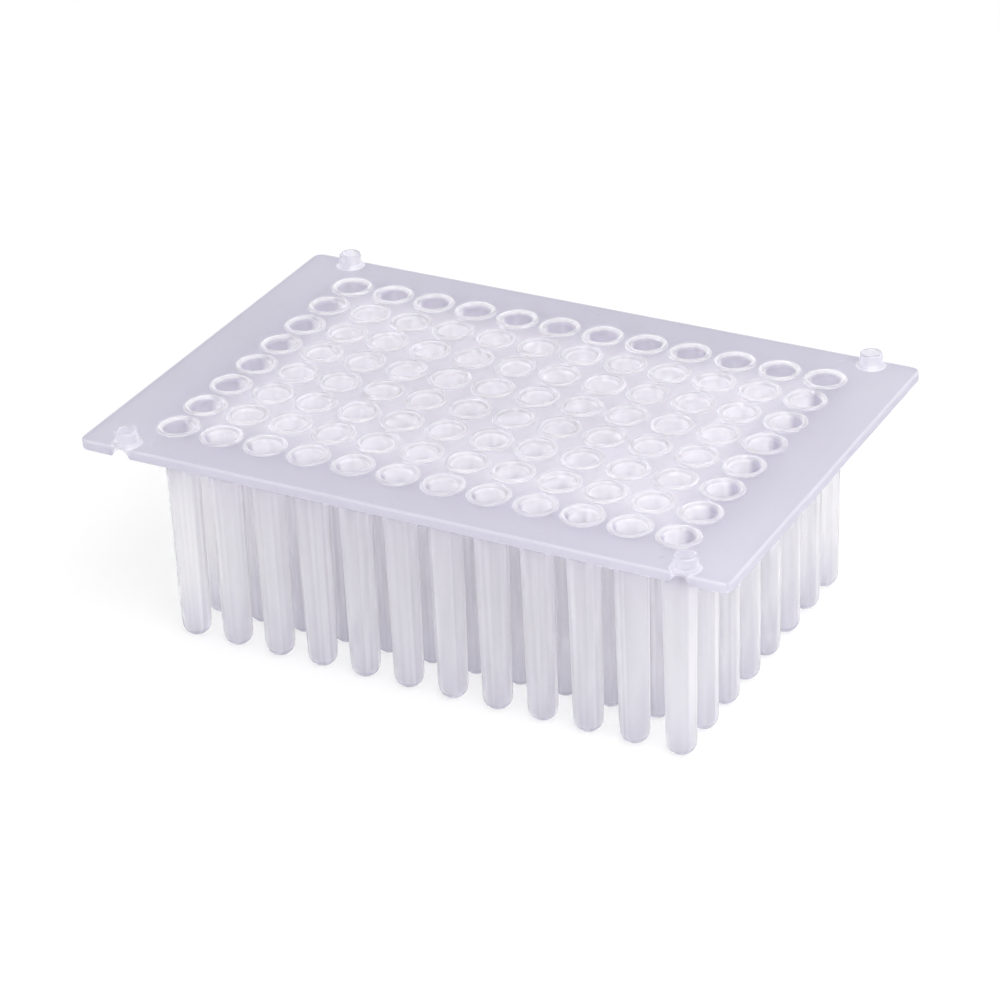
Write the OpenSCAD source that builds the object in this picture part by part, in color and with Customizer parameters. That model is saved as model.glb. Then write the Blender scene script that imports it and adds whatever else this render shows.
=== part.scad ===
// Well plate of the comb kind: a thin rectangular plate with 12 x 8 closed tubes hanging from it
// on a 9 mm pitch, moulded in one piece. It stands on the tips of its tubes.
// Origin: the middle of the plate's footprint, on the surface that the tube tips stand on. +Z is up,
// X runs along the rows of twelve wells and Y along the columns of eight.

/* [Wells] */
// Number of wells along X
cols = 12; // [1:1:12]
// Number of wells along Y
rows = 8; // [1:1:8]
// Distance between the centres of neighbouring wells, in both directions
pitch = 9; // [7:0.1:12]

/* [Plate] */
// Distance of the outer wells' centres in from the plate's short edges
end_margin = 14.38; // [12:0.01:20]
// Distance of the outer wells' centres in from the plate's long edges
side_margin = 11.24; // [9.5:0.01:16]
// Thickness of the plate
plate_t = 1.9; // [1.5:0.1:3]
// Radius of the plate's corners, seen from above
corner_r = 2; // [1:0.1:4]
// Radius that rounds the plate's top and bottom edges
edge_r = 0.25; // [0.1:0.05:0.5]

/* [Tubes] */
// Distance from the plate's underside down to the tube tips
tube_l = 41.2; // [20:0.1:60]
// Gap between neighbouring tubes where they leave the plate
tube_gap = 2.7; // [2.2:0.1:3.4]
// How much narrower a tube is across its round tip than where it leaves the plate
tube_taper = 0.8; // [0.4:0.05:1.2]
// Wall thickness of a tube, tip included
wall = 0.4; // [0.3:0.05:0.8]

/* [Mouths] */
// Distance of the lip's crest out from the line of the tube's outside
lip_out = 0.35; // [0.25:0.05:0.45]
// Radius of the lip's section, which is also how far it stands above the plate
lip_r = 0.5; // [0.35:0.05:0.6]
// Depth of the narrow end of the funnel below the plate's top
funnel_depth = 0.65; // [0.4:0.05:1]
// Length of the straight land below the funnel, which caps and plugs seal on
land_l = 4; // [2:0.5:10]

/* [Locating bosses] */
// Distance of the boss centres in from the short edges
boss_end_inset = 9; // [6:0.1:11]
// Distance of the boss centres in from the long edges
boss_side_inset = 2.4; // [2:0.05:3]
// Height of a boss above the plate
boss_h = 2.6; // [1.5:0.1:5]
// Diameter of the bore in a boss
boss_bore_d = 3; // [2.4:0.1:3.2]
// Wall of a boss around its bore
boss_wall = 0.6; // [0.5:0.05:0.8]
// Radius that rounds the outer edge of a boss's top
boss_round = 0.35; // [0.1:0.05:0.4]
// Height and width of the flare around the foot of a boss
boss_flare = 0.7; // [0.5:0.1:1]
// Height and width of the chamfer at the mouth of that bore
boss_chamfer = 0.15; // [0.05:0.05:0.2]
// Height above the plate at which the bore begins
boss_bore_z = 0.4; // [0.3:0.05:0.6]
// Diameter of the hollow under a boss at the plate's underside
recess_low_d = 6.2; // [5:0.1:7.4]
// Diameter of that hollow where its shoulder begins
recess_top_d = 4.9; // [4.4:0.1:5.2]
// Depth of that shoulder below the plate's top
recess_roof = 0.25; // [0.2:0.05:0.5]

/* [Ejector marks] */
// Diameter of the round marks in the long margins
mark_d = 1.4; // [1:0.1:3]
// Depth of the marks
mark_depth = 0.1; // [0.05:0.01:0.3]
// Distance of the outer marks in from the bosses, along the plate's length
mark_end_gap = 4.9; // [4:0.1:12]
// Distance of the mark centres in from the long edges
mark_inset = 3.4; // [3:0.1:4]

/* [Hidden] */
$fn = 48;
// how far a cutting or joining shape runs past the surface that it meets
over = 0.2;

plate_l = (cols - 1) * pitch + 2 * end_margin;
plate_w = (rows - 1) * pitch + 2 * side_margin;
underside_z = tube_l;
top_z = underside_z + plate_t;
tube_top_r = (pitch - tube_gap) / 2;
tip_r = tube_top_r - tube_taper / 2;
// the land is as wide as leaves the full wall at its lower end, and the funnel narrows to it
bore_z = top_z - funnel_depth;
land_low_z = bore_z - land_l;
land_share = (land_low_z - tip_r) / (underside_z - tip_r);
bore_r = tip_r + (tube_top_r - tip_r) * min(land_share, 1) - wall;
// the funnel opens on to the inner slope of the lip, at this share of the lip's radius
lip_share = 0.6;
lip_crest_r = tube_top_r + lip_out;
mouth_r = lip_crest_r - lip_share * lip_r;
mouth_z = top_z + lip_r * sqrt(1 - lip_share * lip_share);
// the shape that cuts a mouth is carried on along the funnel's slope to this height
cut_z = top_z + lip_r + over;
cut_r = mouth_r + (cut_z - mouth_z) * (mouth_r - bore_r) / (mouth_z - bore_z);
boss_x = plate_l / 2 - boss_end_inset;
boss_y = plate_w / 2 - boss_side_inset;
boss_bore_r = boss_bore_d / 2;
boss_r = boss_bore_r + boss_wall;
boss_top_z = top_z + boss_h;
mark_x = boss_x - mark_end_gap;
mark_y = plate_w / 2 - mark_inset;

// Calls its children once at the centre of each well
module at_wells() {
    for (i = [0 : cols - 1])
        for (j = [0 : rows - 1])
            translate([(i - (cols - 1) / 2) * pitch, (j - (rows - 1) / 2) * pitch, 0])
                children();
}

// Calls its children once at each boss, turned so that +Y leads to the nearest long edge
module at_bosses() {
    for (x = [-boss_x, boss_x])
        for (turn = [0, 180])
            translate([x, turn == 0 ? boss_y : -boss_y, 0])
                rotate([0, 0, turn])
                    children();
}

// Half of the plate's section across an edge, from x = 0 out to x = half, with rounded outer edges
module edge_section(half) {
    square([half - edge_r, plate_t]);
    translate([0, edge_r])
        square([half, plate_t - 2 * edge_r]);
    for (z = [edge_r, plate_t - edge_r])
        translate([half - edge_r, z])
            circle(r = edge_r);
}

// A bar with the plate's section: straight along X, with its rounded edges at either side
module bar(length, width) {
    for (turn = [0, 180])
        rotate([0, 0, turn])
            translate([-length / 2, 0, 0])
                rotate([90, 0, 90])
                    linear_extrude(length)
                        edge_section(width / 2);
}

// The plate before it is bored: two crossed bars and four round corners
module plate_blank() {
    straight_l = plate_l - 2 * corner_r;
    straight_w = plate_w - 2 * corner_r;
    bar(straight_l, plate_w);
    rotate([0, 0, 90])
        bar(straight_w, plate_l);
    for (turn = [0 : 90 : 270]) {
        near_x = turn == 0 || turn == 270 ? straight_l / 2 : -straight_l / 2;
        near_y = turn < 180 ? straight_w / 2 : -straight_w / 2;
        translate([near_x, near_y, 0])
            rotate([0, 0, turn])
                rotate_extrude(angle = 90)
                    edge_section(corner_r);
    }
}

// Right half of the lower half of a disc that rests on the origin
module lower_quarter(r) {
    translate([0, r])
        intersection() {
            circle(r = r);
            translate([0, -r])
                square(r);
        }
}

// The outside of one well: round tip, tapered tube and half-round lip
module well_outside() {
    rotate_extrude() {
        lower_quarter(tip_r);
        polygon([
            [0, tip_r],
            [tip_r, tip_r],
            [tube_top_r, underside_z],
            [tube_top_r, top_z],
            [0, top_z]
        ]);
        translate([lip_crest_r, top_z])
            circle(r = lip_r);
    }
}

// The hollow of one well: round floor, taper, straight land and funnel
module well_inside() {
    rotate_extrude() {
        translate([0, wall])
            lower_quarter(tip_r - wall);
        polygon([
            [0, tip_r],
            [tip_r - wall, tip_r],
            [bore_r, land_low_z],
            [bore_r, bore_z],
            [cut_r, cut_z],
            [0, cut_z]
        ]);
    }
}

// A boss with a flared foot and a rounded top, cut off where the rounding of the long edge begins
module boss_outside() {
    round_r = boss_r - boss_round;
    round_z = boss_top_z - boss_round;
    reach = boss_r + boss_flare;
    intersection() {
        rotate_extrude() {
            polygon([
                [0, top_z - over],
                [reach, top_z - over],
                [reach, top_z],
                [boss_r, top_z + boss_flare],
                [boss_r, round_z],
                [round_r, round_z],
                [round_r, boss_top_z],
                [0, boss_top_z]
            ]);
            translate([round_r, round_z])
                circle(r = boss_round);
        }
        translate([-2 * reach, -2 * reach, underside_z])
            cube([4 * reach, 2 * reach + boss_side_inset - edge_r, plate_t + boss_h + over]);
    }
}

// The hollow of a boss: a cone from the plate's underside, a shoulder and a bore to the top
module boss_inside() {
    shoulder_z = top_z - recess_roof;
    slope = (recess_low_d - recess_top_d) / 2 / (shoulder_z - underside_z);
    rotate_extrude()
        polygon([
            [0, underside_z - over],
            [recess_low_d / 2 + over * slope, underside_z - over],
            [recess_top_d / 2, shoulder_z],
            [boss_bore_r, top_z + boss_bore_z],
            [boss_bore_r, boss_top_z - boss_chamfer],
            [boss_bore_r + boss_chamfer + over, boss_top_z + over],
            [0, boss_top_z + over]
        ]);
}

// Shallow round marks that the ejector pins leave along both long edges
module ejector_marks() {
    for (x = [-mark_x, 0, mark_x])
        for (y = [-mark_y, mark_y])
            translate([x, y, top_z - mark_depth])
                cylinder(d = mark_d, h = mark_depth + over);
}

module well_plate() {
    color("lavender")
        difference() {
            union() {
                translate([0, 0, underside_z])
                    plate_blank();
                at_wells()
                    well_outside();
                at_bosses()
                    boss_outside();
            }
            at_wells()
                well_inside();
            at_bosses()
                boss_inside();
            ejector_marks();
        }
}

well_plate();
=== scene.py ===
"""Looks of the well plate: its moulded, milky polypropylene, a pale floor and soft studio light."""
import math
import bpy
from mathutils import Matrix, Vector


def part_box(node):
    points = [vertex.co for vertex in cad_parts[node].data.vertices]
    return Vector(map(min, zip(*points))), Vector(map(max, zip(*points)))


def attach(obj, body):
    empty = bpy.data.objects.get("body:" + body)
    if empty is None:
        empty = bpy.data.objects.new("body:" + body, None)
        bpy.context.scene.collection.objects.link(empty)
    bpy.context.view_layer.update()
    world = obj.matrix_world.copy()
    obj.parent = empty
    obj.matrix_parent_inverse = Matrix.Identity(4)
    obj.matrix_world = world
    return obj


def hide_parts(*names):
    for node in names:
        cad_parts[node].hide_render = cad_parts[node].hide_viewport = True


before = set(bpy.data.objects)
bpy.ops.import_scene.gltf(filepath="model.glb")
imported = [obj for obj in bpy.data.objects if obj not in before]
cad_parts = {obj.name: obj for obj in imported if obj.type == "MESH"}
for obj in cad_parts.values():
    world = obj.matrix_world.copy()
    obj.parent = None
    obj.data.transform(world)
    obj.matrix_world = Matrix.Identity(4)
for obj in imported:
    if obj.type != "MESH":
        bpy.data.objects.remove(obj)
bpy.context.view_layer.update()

from types import SimpleNamespace

import bmesh
import bpy
from mathutils import Matrix, Vector

MM = 0.001

# ---------------------------------------------------------------- sizes, as in the CAD model
# the plate
END_X, END_Y, BOSS_TOP_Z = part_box("well_plate")[1]
PLATE_T = 1.9 * MM
UNDERSIDE_Z = 41.2 * MM
TOP_Z = UNDERSIDE_Z + PLATE_T
MID_Z = UNDERSIDE_Z + PLATE_T / 2
CORNER_R = 2 * MM
EDGE_R = 0.25 * MM

# the tubes: outside radii at the plate and at the tip
COLS, ROWS = 12, 8
PITCH = 9 * MM
TUBE_TOP_R = 3.15 * MM
TIP_R = 2.75 * MM
WALL = 0.4 * MM

# the mouths: a funnel, and a straight land below it as wide as the wall allows at its lower end
LAND_L = 4 * MM
FUNNEL_DEPTH = 0.65 * MM
BORE_Z = TOP_Z - FUNNEL_DEPTH
LAND_LOW_Z = BORE_Z - LAND_L
BORE_R = TIP_R + (TUBE_TOP_R - TIP_R) * (LAND_LOW_Z - TIP_R) / (UNDERSIDE_Z - TIP_R) - WALL

# the lips: the funnel cuts a lip at this share of its radius inside its crest; the angle is the part of
# its round that is drawn before the cut
LIP_R = 0.5 * MM
LIP_CREST_R = 3.5 * MM
LIP_SHARE = 0.6
LIP_SWEEP = 150

# the bosses, and the hollows below them
BOSS_X, BOSS_Y = 54.88 * MM, 40.34 * MM
BOSS_BORE_R = 1.5 * MM
BOSS_R = 2.1 * MM
BOSS_ROUND = 0.35 * MM
BOSS_FLARE = 0.7 * MM
BOSS_CHAMFER = 0.15 * MM
BOSS_BORE_Z = TOP_Z + 0.4 * MM
RECESS_LOW_R = 3.1 * MM
RECESS_TOP_R = 2.45 * MM
RECESS_SHOULDER_Z = TOP_Z - 0.25 * MM

# the ejector marks
MARK_R = 0.7 * MM
MARK_DEPTH = 0.1 * MM
MARK_X, MARK_Y = 49.98 * MM, 39.34 * MM

# how far a cutting shape reaches past what it cuts
OVER = 0.2 * MM

# ---------------------------------------------------------------- fineness of the mesh
WELL_SIDES = 42
BOSS_SIDES = 48
QUARTER_STEPS = 5
LIP_STEPS = 8
CORNER_STEPS = 8
SHARP_ANGLE = math.radians(21)
# points that are closer than this are made one
WELD = 0.002 * MM

# ---------------------------------------------------------------- camera and light
CAMERA_AZIMUTH = math.radians(28.73)
CAMERA_ELEVATION = math.radians(29.01)
CAMERA_ROLL = math.radians(-2.47)
CAMERA_DISTANCE = 0.59647
CAMERA_TARGET = Vector((0.01623, -0.03262, 0.04338))
SENSOR_WIDTH = 36.0
LENS = 125.1

# the floor as it is seen, partly shining white, and as it lights the plate from below
FLOOR_SIZE = 6.0
FLOOR_SEEN = (0.95, 0.95, 0.95, 1)
FLOOR_LIT = (0.66, 0.66, 0.69, 1)
FLOOR_WHITE_SHARE = 0.65
WHITE = (1, 1, 1, 1)

# the light from all around, at the horizon and overhead
WORLD_SIDE, WORLD_TOP = 0.6, 1.0
LIGHT_BOUNCES = 32

# two soft boxes: over the front right corner, and low at the front right
LAMPS = (
    {"name": "top", "place": (0.26, -0.14, 0.48), "aim": (0.0, 0, 0.03), "size": (0.4, 0.4), "watts": 1.85},
    {"name": "front", "place": (0.5, -0.35, 0.3), "aim": (0.04, 0, 0.03), "size": (0.4, 0.4), "watts": 0.6},
)

# ---------------------------------------------------------------- polypropylene
IOR = 1.49
ROUGHNESS_LOW, ROUGHNESS_HIGH = 0.07, 0.12
SATIN_STRENGTH = 0.1
SATIN_DEPTH = 0.05 * MM
STREAK_SCALE = 480.0
STREAK_FROM, STREAK_TO = 0.42, 0.62

# colours of the clear and the milky share: in the tubes' walls, in the plate between the wells, in its
# margin, in its side faces and upper edge, and in the bosses; the margin is the plastic's own lilac grey
# made deeper than the field by painted shade, and the upper edge is lighter, a painted highlight
CLEAR_WALL = (0.995, 0.993, 0.9985, 1)
MILK_WALL = (0.988, 0.982, 0.9993, 1)
CLEAR_FIELD = (0.90, 0.89, 0.925, 1)
MILK_FIELD = (0.88, 0.87, 0.91, 1)
# painted shade: the margin's clear and milky shares are darker than the field's
CLEAR_MARGIN_SHADE = (0.73, 0.72, 0.80, 1)
MILK_MARGIN_SHADE = (0.67, 0.655, 0.735, 1)
MILK_SIDE = (0.725, 0.715, 0.78, 1)
# painted highlight: a lighter strip along the plate's upper edge
MILK_EDGE_HIGHLIGHT = (0.81, 0.80, 0.85, 1)
BOSS_TINT = (0.90, 0.89, 0.94, 1)

# colours of the wells' inner walls: painted shade near the floor that fades out higher up, a light painted
# shade in the mouth, and a deep painted shade in the outward half of the mouths of the outermost wells,
# which stands in for darker surroundings
INNER_LOW_SHADE = (0.82, 0.81, 0.87, 1)
INNER_HIGH = (0.99, 0.987, 0.996, 1)
MOUTH_SHADE = (0.955, 0.945, 0.968, 1)
INNER_SHADE = (0.57, 0.55, 0.64, 1)
INNER_FROM, INNER_TO = 2 * MM, 12 * MM
MOUTH_FROM, MOUTH_TO = 27 * MM, 34 * MM
SHADE_FROM, SHADE_TO = 34 * MM, 37 * MM
OUTWARD_BLEND = TUBE_TOP_R / 4

# how much of the surface is milky, and how much of that milk lets light through
MILK_SHARE_CLEAR, MILK_SHARE_STREAK = 0.28, 0.38
MILK_SHARE_MOUTH = 0.5
MILK_SHARE_LIP = 0.34
MILK_SHARE_PLATE = 0.85
MILK_SHARE_BOSS = 0.35
THROUGH_WALL, THROUGH_PLATE = 0.75, 0.85

# where the zones begin and end, as distances from a well's axis, heights, distances out from the
# outermost axes, and distances from the plate's edge and from a boss's axis
LAST_WELL_X, LAST_WELL_Y = (COLS - 1) / 2 * PITCH, (ROWS - 1) / 2 * PITCH
FLAT_FROM, FLAT_TO = 3.95 * MM, 4.15 * MM
SKIN_FROM, SKIN_TO = UNDERSIDE_Z + 0.2 * MM, UNDERSIDE_Z + 0.6 * MM
LIP_FROM, LIP_TO = TOP_Z - 0.3 * MM, TOP_Z + 0.1 * MM
CREST_FROM, CREST_TO = TOP_Z - 0.5 * MM, TOP_Z - 0.2 * MM
MARGIN_FROM, MARGIN_TO = -9.0 * MM, 4.0 * MM
EDGE_FROM, EDGE_TO = 0.6 * MM, 0.35 * MM
BOSS_FROM, BOSS_TO = 3.1 * MM, 2.5 * MM


def arc(centre_r, centre_z, radius, start, end, steps):
    """Points of a circular arc in a lathe profile; the angles are in degrees from +R towards +Z."""
    points = []
    for k in range(steps + 1):
        angle = math.radians(start + (end - start) * k / steps)
        points.append((centre_r + radius * math.cos(angle), centre_z + radius * math.sin(angle)))
    return points


def lathe(profile, sides):
    """A closed turned shape; the profile runs from its lowest point on the axis to its highest one."""
    points, faces, rings = [], [], []
    for r, z in profile:
        count = 1 if r == 0 else sides
        rings.append([len(points) + k for k in range(count)])
        for k in range(count):
            angle = 2 * math.pi * k / sides
            points.append((r * math.cos(angle), r * math.sin(angle), z))
    for low, high in zip(rings, rings[1:]):
        for k in range(sides):
            m = (k + 1) % sides
            if len(low) == 1:
                faces.append((low[0], high[m], high[k]))
            elif len(high) == 1:
                faces.append((low[k], low[m], high[0]))
            else:
                faces.append((low[k], low[m], high[m], high[k]))
    return points, faces


def solid(name, shape, places):
    """One object with a copy of a closed shape at each place."""
    points, faces = [], []
    for x, y in places:
        first = len(points)
        points += [(px + x, py + y, pz) for px, py, pz in shape[0]]
        faces += [tuple(first + k for k in face) for face in shape[1]]
    mesh = bpy.data.meshes.new(name)
    mesh.from_pydata(points, [], faces)
    piece = bpy.data.objects.new(name, mesh)
    bpy.context.collection.objects.link(piece)
    return piece


def combine(target, other, operation):
    """Joins, cuts or trims the target with another closed object, which is then gone."""
    modifier = target.modifiers.new(operation, "BOOLEAN")
    modifier.operation = operation
    modifier.object = other
    modifier.solver = "MANIFOLD"
    evaluated = target.evaluated_get(bpy.context.evaluated_depsgraph_get())
    old = target.data
    mesh = bpy.data.meshes.new_from_object(evaluated)
    target.modifiers.clear()
    target.data = mesh
    bpy.data.meshes.remove(old)
    bpy.data.objects.remove(other)


def weld(mesh):
    """Closes up the slivers that cutting leaves where two edges meet."""
    work = bmesh.new()
    work.from_mesh(mesh)
    bmesh.ops.remove_doubles(work, verts=work.verts, dist=WELD)
    work.to_mesh(mesh)
    work.free()


def well_outside():
    """A closed tube with its lip, whose round runs on past the place where the hollow cuts it."""
    profile = [(0, 0)] + arc(0, TIP_R, TIP_R, -90, 0, QUARTER_STEPS)[1:]
    profile += [(TUBE_TOP_R, UNDERSIDE_Z), (TUBE_TOP_R, MID_Z), (LIP_CREST_R + LIP_R, MID_Z)]
    profile += arc(LIP_CREST_R, TOP_Z, LIP_R, 0, LIP_SWEEP, LIP_STEPS)
    profile += [(0, profile[-1][1])]
    return lathe(profile, WELL_SIDES)


def well_inside():
    """A well's hollow: a round floor, an even wall, a straight land and the funnel through the lip."""
    floor_r = TIP_R - WALL
    mouth_r = LIP_CREST_R - LIP_SHARE * LIP_R
    mouth_z = TOP_Z + LIP_R * math.sqrt(1 - LIP_SHARE ** 2)
    cut_z = TOP_Z + LIP_R + OVER
    cut_r = mouth_r + (cut_z - mouth_z) * (mouth_r - BORE_R) / (mouth_z - BORE_Z)
    profile = [(0, WALL)] + arc(0, TIP_R, floor_r, -90, 0, QUARTER_STEPS)[1:]
    profile += [(BORE_R, LAND_LOW_Z), (BORE_R, BORE_Z), (cut_r, cut_z), (0, cut_z)]
    return lathe(profile, WELL_SIDES)


def boss_outside():
    """A boss with a flared foot and a rounded top."""
    profile = [(0, MID_Z), (BOSS_R + BOSS_FLARE, MID_Z), (BOSS_R + BOSS_FLARE, TOP_Z)]
    profile += [(BOSS_R, TOP_Z + BOSS_FLARE)]
    profile += arc(BOSS_R - BOSS_ROUND, BOSS_TOP_Z - BOSS_ROUND, BOSS_ROUND, 0, 90, QUARTER_STEPS)
    return lathe(profile + [(0, BOSS_TOP_Z)], BOSS_SIDES)


def boss_inside():
    """A boss's hollow: a cone from below, a straight bore and a chamfer at the top."""
    slope = (RECESS_LOW_R - RECESS_TOP_R) / (RECESS_SHOULDER_Z - UNDERSIDE_Z)
    profile = [(0, UNDERSIDE_Z - OVER), (RECESS_LOW_R + OVER * slope, UNDERSIDE_Z - OVER)]
    profile += [(RECESS_TOP_R, RECESS_SHOULDER_Z), (BOSS_BORE_R, BOSS_BORE_Z)]
    profile += [(BOSS_BORE_R, BOSS_TOP_Z - BOSS_CHAMFER)]
    profile += [(BOSS_BORE_R + BOSS_CHAMFER + OVER, BOSS_TOP_Z + OVER), (0, BOSS_TOP_Z + OVER)]
    return lathe(profile, BOSS_SIDES)


def ejector_mark():
    """A shallow round hollow in the top of the plate."""
    low, high = TOP_Z - MARK_DEPTH, TOP_Z + OVER
    return lathe([(0, low), (MARK_R, low), (MARK_R, high), (0, high)], BOSS_SIDES // 2)


def slab():
    """The plate before it is bored: round corners, and rounded edges above and below."""
    section = arc(0, UNDERSIDE_Z + EDGE_R, EDGE_R, -90, 0, QUARTER_STEPS)
    section += arc(0, TOP_Z - EDGE_R, EDGE_R, 0, 90, QUARTER_STEPS)
    centres = ((1, 1, 0), (-1, 1, 90), (-1, -1, 180), (1, -1, 270))
    points, faces = [], []
    for out, z in section:
        for sx, sy, turn in centres:
            x, y = sx * (END_X - CORNER_R), sy * (END_Y - CORNER_R)
            corner = arc(x, y, CORNER_R - EDGE_R + out, turn, turn + 90, CORNER_STEPS)
            points += [(px, py, z) for px, py in corner]
    around = len(centres) * (CORNER_STEPS + 1)
    for k in range(len(section) - 1):
        for m in range(around):
            near, far = k * around + m, k * around + (m + 1) % around
            faces.append((near, far, far + around, near + around))
    faces.append(tuple(reversed(range(around))))
    faces.append(tuple(range(len(points) - around, len(points))))
    return points, faces


def trimming_block():
    """All of the space between the planes where the rounding of the two long edges begins."""
    reach_y, height = END_Y - EDGE_R, 2 * BOSS_TOP_Z
    points = [(x, y, z) for x in (-END_X, END_X) for y in (-reach_y, reach_y) for z in (0, height)]
    faces = [(0, 1, 3, 2), (4, 6, 7, 5), (0, 4, 5, 1), (2, 3, 7, 6), (0, 2, 6, 4), (1, 5, 7, 3)]
    return points, faces


def make_plate():
    centre = [(0, 0)]
    wells = [((i - (COLS - 1) / 2) * PITCH, (j - (ROWS - 1) / 2) * PITCH)
             for i in range(COLS) for j in range(ROWS)]
    bosses = [(x, y) for x in (-BOSS_X, BOSS_X) for y in (-BOSS_Y, BOSS_Y)]
    marks = [(x, y) for x in (-MARK_X, 0, MARK_X) for y in (-MARK_Y, MARK_Y)]
    plate = solid("plate", slab(), centre)
    towers = solid("towers", boss_outside(), bosses)
    combine(towers, solid("trim", trimming_block(), centre), "INTERSECT")
    combine(plate, towers, "UNION")
    combine(plate, solid("tubes", well_outside(), wells), "UNION")
    combine(plate, solid("hollows", well_inside(), wells), "DIFFERENCE")
    combine(plate, solid("recesses", boss_inside(), bosses), "DIFFERENCE")
    combine(plate, solid("marks", ejector_mark(), marks), "DIFFERENCE")
    weld(plate.data)
    plate.data.shade_smooth()
    plate.data.set_sharp_from_angle(angle=SHARP_ANGLE)
    return plate


def make_camera():
    """A camera that looks down the plate's front right corner, rolled a little to its left."""
    az, el = CAMERA_AZIMUTH, CAMERA_ELEVATION
    back = Vector((math.sin(az) * math.cos(el), -math.cos(az) * math.cos(el), math.sin(el)))
    right = Vector((math.cos(az), math.sin(az), 0.0))
    up = back.cross(right)
    turned_right = math.cos(CAMERA_ROLL) * right + math.sin(CAMERA_ROLL) * up
    turned_up = math.cos(CAMERA_ROLL) * up - math.sin(CAMERA_ROLL) * right
    place = Matrix((turned_right, turned_up, back)).transposed().to_4x4()
    place.translation = CAMERA_TARGET + back * CAMERA_DISTANCE
    data = bpy.data.cameras.new("camera")
    data.sensor_width = SENSOR_WIDTH
    data.lens = LENS
    camera = bpy.data.objects.new("camera", data)
    camera.matrix_world = place
    bpy.context.collection.objects.link(camera)
    bpy.context.scene.camera = camera


class Nodes:
    """A node tree that is written line by line."""

    def __init__(self, tree):
        self.tree = tree
        tree.nodes.clear()

    def add(self, kind, inputs=None, **settings):
        """Adds a node, sets its properties, and sets or links its inputs by name or number."""
        node = self.tree.nodes.new(kind)
        for name, value in settings.items():
            setattr(node, name, value)
        for name, value in (inputs or {}).items():
            if isinstance(value, bpy.types.NodeSocket):
                self.tree.links.new(value, node.inputs[name])
            else:
                node.inputs[name].default_value = value
        return node

    def math(self, operation, first, second=0.0):
        return self.add("ShaderNodeMath", {0: first, 1: second}, operation=operation).outputs[0]

    def length(self, x, y):
        squares = self.math("ADD", self.math("MULTIPLY", x, x), self.math("MULTIPLY", y, y))
        return self.math("SQRT", squares)

    def wrap(self, value, period):
        return self.add("ShaderNodeMath", {0: value, 1: period, 2: 0.0}, operation="WRAP").outputs[0]

    def mix(self, share, first, second):
        return self.add("ShaderNodeMixShader", {0: share, 1: first, 2: second}).outputs[0]

    def between(self, share, first, second):
        return self.add("ShaderNodeMix", {0: share, 2: first, 3: second}).outputs[0]

    def blend(self, share, first, second):
        node = self.add("ShaderNodeMix", {0: share, 6: first, 7: second}, data_type="RGBA")
        return node.outputs[2]

    def remap(self, value, start, end, low=0.0, high=1.0, kind="LINEAR"):
        inputs = {0: value, 1: start, 2: end, 3: low, 4: high}
        return self.add("ShaderNodeMapRange", inputs, interpolation_type=kind).outputs[0]

    def ramp(self, value, start, end):
        """A soft step from 0 at the start to 1 at the end."""
        return self.remap(value, start, end, kind="SMOOTHSTEP")

    def seen_as(self, lit, seen):
        """Rays that light things meet `lit`; rays that are looked along meet `seen`."""
        path = self.add("ShaderNodeLightPath").outputs
        looked = self.math("MAXIMUM", path["Is Glossy Ray"], path["Is Transmission Ray"])
        return self.mix(self.math("MAXIMUM", path["Is Camera Ray"], looked), lit, seen)


def make_floor():
    bpy.ops.mesh.primitive_plane_add(size=FLOOR_SIZE, location=(0, 0, 0))
    floor = bpy.context.object
    floor.name = "floor"
    mat = bpy.data.materials.new("floor_white")
    mat.use_nodes = True
    nodes = Nodes(mat.node_tree)
    lit = nodes.add("ShaderNodeBsdfDiffuse", {"Color": FLOOR_LIT}).outputs[0]
    matt = nodes.add("ShaderNodeBsdfDiffuse", {"Color": FLOOR_SEEN}).outputs[0]
    white = nodes.add("ShaderNodeEmission", {"Color": WHITE}).outputs[0]
    seen = nodes.mix(FLOOR_WHITE_SHARE, matt, white)
    nodes.add("ShaderNodeOutputMaterial", {"Surface": nodes.seen_as(lit, seen)})
    floor.data.materials.append(mat)


def make_world():
    world = bpy.data.worlds.new("studio")
    bpy.context.scene.world = world
    world.use_nodes = True
    nodes = Nodes(world.node_tree)
    direction = nodes.add("ShaderNodeTexCoord").outputs["Generated"]
    height = nodes.add("ShaderNodeSeparateXYZ", {0: direction}).outputs[2]
    strength = nodes.remap(height, 0.0, 1.0, WORLD_SIDE, WORLD_TOP)
    lit = nodes.add("ShaderNodeBackground", {"Color": WHITE, "Strength": strength}).outputs[0]
    seen = nodes.add("ShaderNodeBackground", {"Color": WHITE}).outputs[0]
    nodes.add("ShaderNodeOutputWorld", {"Surface": nodes.seen_as(lit, seen)})


def make_lamps():
    for box in LAMPS:
        data = bpy.data.lights.new(box["name"], "AREA")
        data.shape = "RECTANGLE"
        data.size, data.size_y = box["size"]
        data.energy = box["watts"]
        lamp = bpy.data.objects.new(box["name"], data)
        lamp.location = box["place"]
        lamp.rotation_mode = "QUATERNION"
        lamp.rotation_quaternion = (lamp.location - Vector(box["aim"])).to_track_quat("Z", "Y")
        bpy.context.collection.objects.link(lamp)


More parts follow.
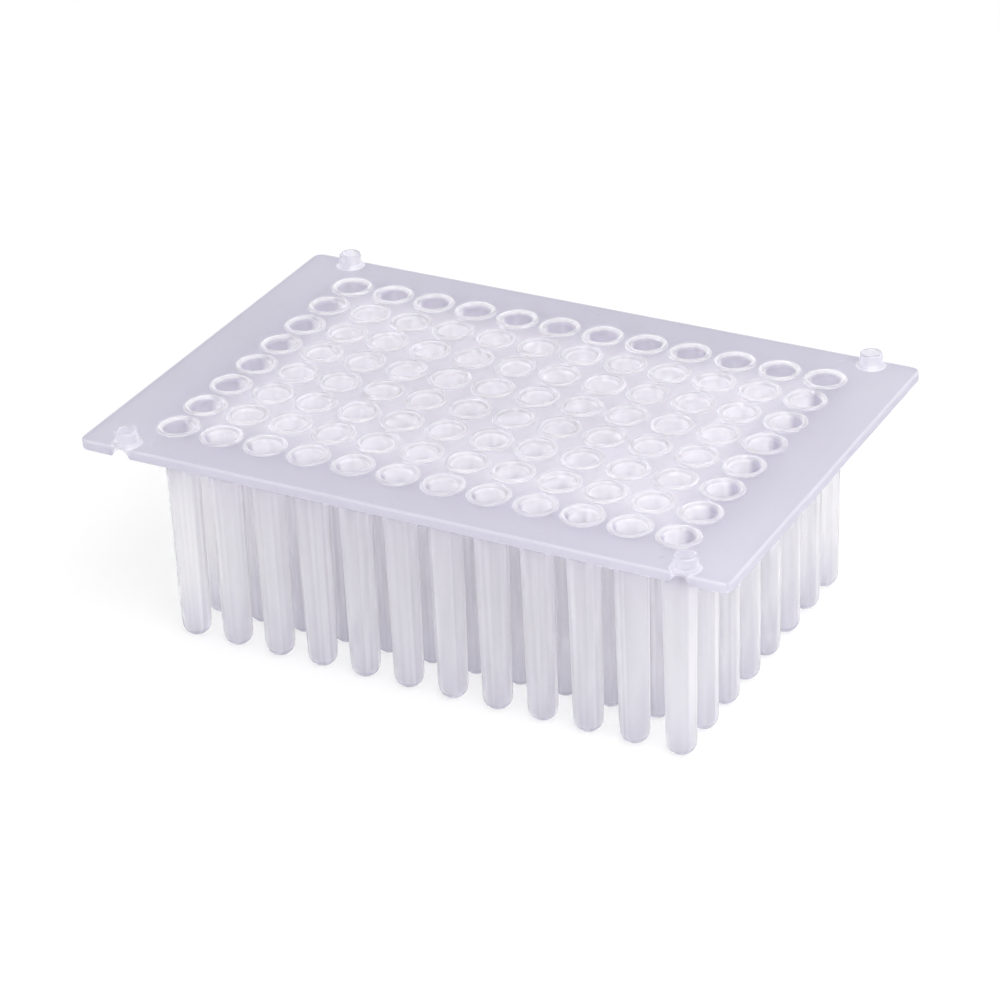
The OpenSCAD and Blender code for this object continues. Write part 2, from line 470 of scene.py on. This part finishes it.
def measure(nodes, place):
    """How high a point lies, and how far from the wells, the bosses and the plate's edges."""
    axes = nodes.add("ShaderNodeSeparateXYZ", {0: place}).outputs
    out_x, out_y = [nodes.math("ABSOLUTE", axes[k]) for k in (0, 1)]
    past_wells = nodes.math("MAXIMUM", nodes.math("SUBTRACT", out_x, LAST_WELL_X),
                            nodes.math("SUBTRACT", out_y, LAST_WELL_Y))
    in_cell = [nodes.math("SUBTRACT", nodes.wrap(axes[k], PITCH), PITCH / 2) for k in (0, 1)]
    to_edge = nodes.math("MINIMUM", nodes.math("SUBTRACT", END_X, out_x),
                         nodes.math("SUBTRACT", END_Y, out_y))
    to_boss = nodes.length(nodes.math("SUBTRACT", out_x, BOSS_X), nodes.math("SUBTRACT", out_y, BOSS_Y))
    to_well = nodes.math("MAXIMUM", past_wells, nodes.length(*in_cell))
    return SimpleNamespace(z=axes[2], past_wells=past_wells, to_edge=to_edge, to_boss=to_boss,
                           to_well=to_well)


def zones(nodes, at):
    """Shares from 0 to 1 that say which part of the moulding a point belongs to."""
    flat = nodes.ramp(at.to_well, FLAT_FROM, FLAT_TO)
    edge = nodes.ramp(at.to_edge, EDGE_FROM, EDGE_TO)
    boss = nodes.ramp(at.to_boss, BOSS_FROM, BOSS_TO)
    shown = nodes.math("MAXIMUM", nodes.ramp(at.z, SKIN_FROM, SKIN_TO), edge)
    skin = nodes.math("MULTIPLY", nodes.math("MULTIPLY", flat, shown), nodes.math("SUBTRACT", 1.0, boss))
    wall_middle = nodes.remap(at.z, TIP_R, UNDERSIDE_Z, TIP_R - WALL / 2, TUBE_TOP_R - WALL / 2)
    inner = nodes.math("LESS_THAN", at.to_well, wall_middle)
    outward = nodes.ramp(at.past_wells, -OUTWARD_BLEND, OUTWARD_BLEND)
    return SimpleNamespace(
        flat=flat, edge=edge, boss=boss, skin=skin, inner=inner,
        mouth=nodes.math("MULTIPLY", inner, nodes.ramp(at.z, MOUTH_FROM, MOUTH_TO)),
        lip=nodes.ramp(at.z, LIP_FROM, LIP_TO),
        crest=nodes.ramp(at.z, CREST_FROM, CREST_TO),
        margin=nodes.ramp(at.past_wells, MARGIN_FROM, MARGIN_TO),
        shade=nodes.math("MULTIPLY", outward, nodes.ramp(at.z, SHADE_FROM, SHADE_TO)))


def colours_with_painted_light(nodes, at, zone):
    """The colours of the clear share and of the milky share, with painted shade and a painted highlight in
    them.
    """
    # painted shade in the wells: darker towards their floors, a little darker in their mouths, and darkest
    # in the outward half of the mouths of the outermost wells
    height = nodes.remap(at.z, INNER_FROM, INNER_TO)
    below = nodes.blend(height, INNER_LOW_SHADE, INNER_HIGH)
    inside = nodes.blend(zone.shade, nodes.blend(zone.mouth, below, MOUTH_SHADE), INNER_SHADE)
    # painted shade: the plate's margin is a darker lilac grey than the field between the wells
    clear_plate = nodes.blend(zone.margin, CLEAR_FIELD, CLEAR_MARGIN_SHADE)
    clear = nodes.blend(zone.skin, nodes.blend(zone.inner, CLEAR_WALL, inside), clear_plate)
    # painted shade in the margin, and a painted highlight in a strip along the plate's upper edge
    rim_shade_and_highlight = nodes.blend(zone.edge, MILK_MARGIN_SHADE, nodes.blend(zone.crest, MILK_SIDE, MILK_EDGE_HIGHLIGHT))
    milk_plate = nodes.blend(zone.margin, MILK_FIELD, rim_shade_and_highlight)
    milk = nodes.blend(zone.skin, nodes.blend(zone.inner, MILK_WALL, inside), milk_plate)
    return nodes.blend(zone.boss, clear, BOSS_TINT), nodes.blend(zone.boss, milk, BOSS_TINT)


def polypropylene():
    """Clear plastic with a milky share that scatters light to both sides and runs in faint streaks."""
    mat = bpy.data.materials.new("polypropylene")
    mat.use_nodes = True
    nodes = Nodes(mat.node_tree)
    place = nodes.add("ShaderNodeTexCoord").outputs["Object"]
    at = measure(nodes, place)
    zone = zones(nodes, at)
    # the colours carry painted shade in the margin and the wells, and a painted highlight along the plate's
    # upper edge
    clear_tint_and_shade, milk_tint_shade_and_highlight = colours_with_painted_light(nodes, at, zone)
    noise = nodes.add("ShaderNodeTexNoise", {"Vector": place, "Scale": STREAK_SCALE, "Detail": 1.0},
                      noise_dimensions="2D").outputs[0]
    streak = nodes.ramp(noise, STREAK_FROM, STREAK_TO)
    rough = nodes.remap(streak, 0.0, 1.0, ROUGHNESS_LOW, ROUGHNESS_HIGH)
    satin = nodes.add("ShaderNodeBump", {"Strength": SATIN_STRENGTH, "Distance": SATIN_DEPTH,
                                         "Height": noise}).outputs[0]
    clear = nodes.add("ShaderNodeBsdfPrincipled", {"Base Color": clear_tint_and_shade, "Roughness": rough,
                                                   "IOR": IOR, "Transmission Weight": 1.0,
                                                   "Normal": satin}).outputs[0]
    near = nodes.add("ShaderNodeBsdfDiffuse", {"Color": milk_tint_shade_and_highlight}).outputs[0]
    through = nodes.add("ShaderNodeBsdfTranslucent", {"Color": milk_tint_shade_and_highlight}).outputs[0]
    milk = nodes.mix(nodes.between(zone.flat, THROUGH_WALL, THROUGH_PLATE), near, through)
    wall_share = nodes.between(streak, MILK_SHARE_CLEAR, MILK_SHARE_STREAK)
    mouth_share = nodes.between(zone.mouth, wall_share, MILK_SHARE_MOUTH)
    well_share = nodes.between(zone.lip, mouth_share, MILK_SHARE_LIP)
    plate_share = nodes.between(zone.flat, well_share, MILK_SHARE_PLATE)
    share = nodes.between(zone.boss, plate_share, MILK_SHARE_BOSS)
    nodes.add("ShaderNodeOutputMaterial", {"Surface": nodes.mix(share, clear, milk)})
    return mat


def set_light_paths():
    """Enough bounces, and no blurring of gloss, for light to cross the many walls without loss."""
    cycles = bpy.context.scene.cycles
    cycles.max_bounces = LIGHT_BOUNCES
    cycles.transmission_bounces = LIGHT_BOUNCES
    cycles.diffuse_bounces = LIGHT_BOUNCES
    cycles.glossy_bounces = LIGHT_BOUNCES
    cycles.blur_glossy = 0.0


make_camera()
make_floor()
make_world()
make_lamps()
set_light_paths()
plate = make_plate()
plate.data.materials.clear()
plate.data.materials.append(polypropylene())
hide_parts("well_plate")
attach(plate, "root")

bpy.context.scene.view_settings.view_transform = "Standard"
